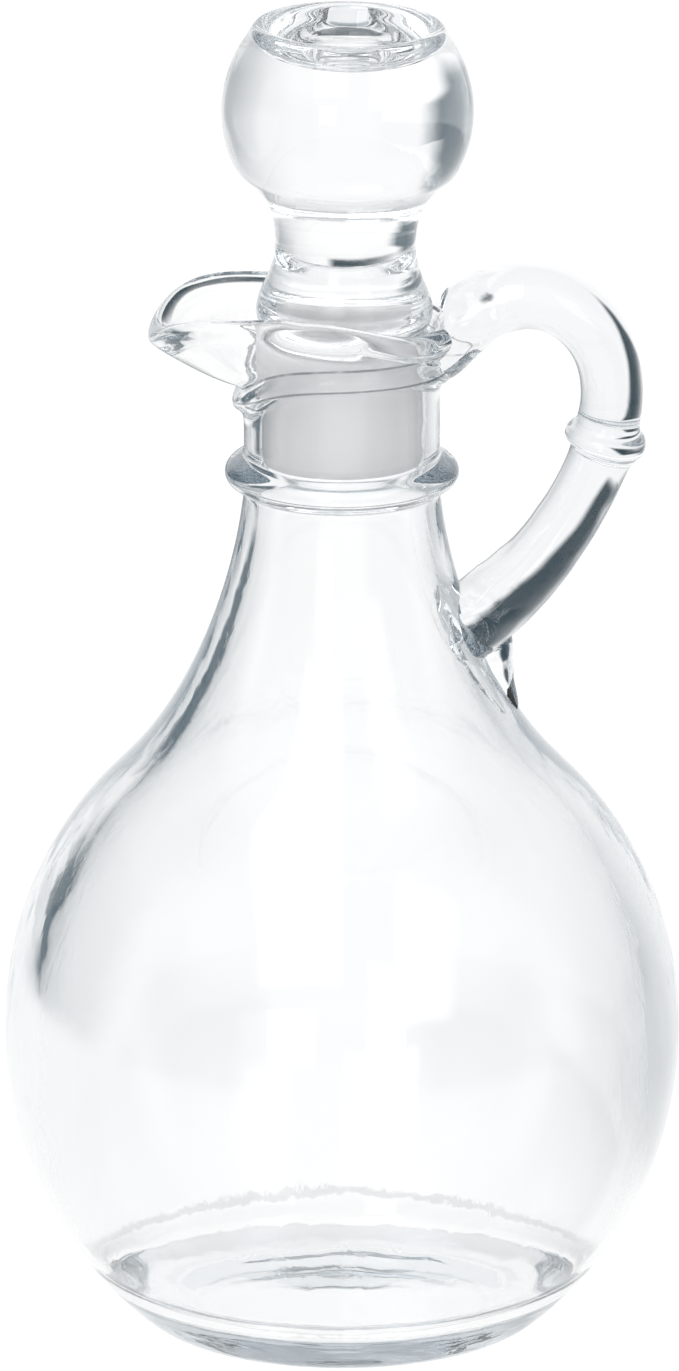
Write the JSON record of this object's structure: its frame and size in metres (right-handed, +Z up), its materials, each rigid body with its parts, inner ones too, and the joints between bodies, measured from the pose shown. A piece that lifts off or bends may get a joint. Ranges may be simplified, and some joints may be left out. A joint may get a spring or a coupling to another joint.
{
  "type": "oil and vinegar table cruet",
  "caption": "Clear glass oil cruet: bulb bottle with a pouring lip, an applied glass handle, and a lift-out ball stopper that seals the neck with a soft translucent sleeve.",
  "frame": {"origin": "centre of the base, on the plane that the bearing ring stands on", "axes": "+Z up the bottle's axis, +X towards the handle, -X towards the pouring lip"},
  "size_m": [0.08, 0.08, 0.1579],
  "materials": {
    "clear_glass": "fire-polished clear glass, faintly cool in the thick parts",
    "stopper_glass": "solid pressed clear glass",
    "sleeve_plastic": "milky translucent soft plastic"
  },
  "bodies": {
    "bottle": {"bottle": "clear_glass", "handle": "clear_glass"},
    "sleeve": {"stopper_sleeve": "sleeve_plastic"},
    "stopper": {"stopper": "stopper_glass"}
  },
  "joints": [
    {"name": "stopper_lift", "type": "slide", "parent": "bottle", "child": "sleeve", "axis": [0, 0, 1], "range_m": [0, 0.032]},
    {"name": "stopper_turn", "type": "hinge", "parent": "sleeve", "child": "stopper", "pos_m": [0, 0, 0.113], "axis": [0, 0, 1], "continuous": true}
  ]
}
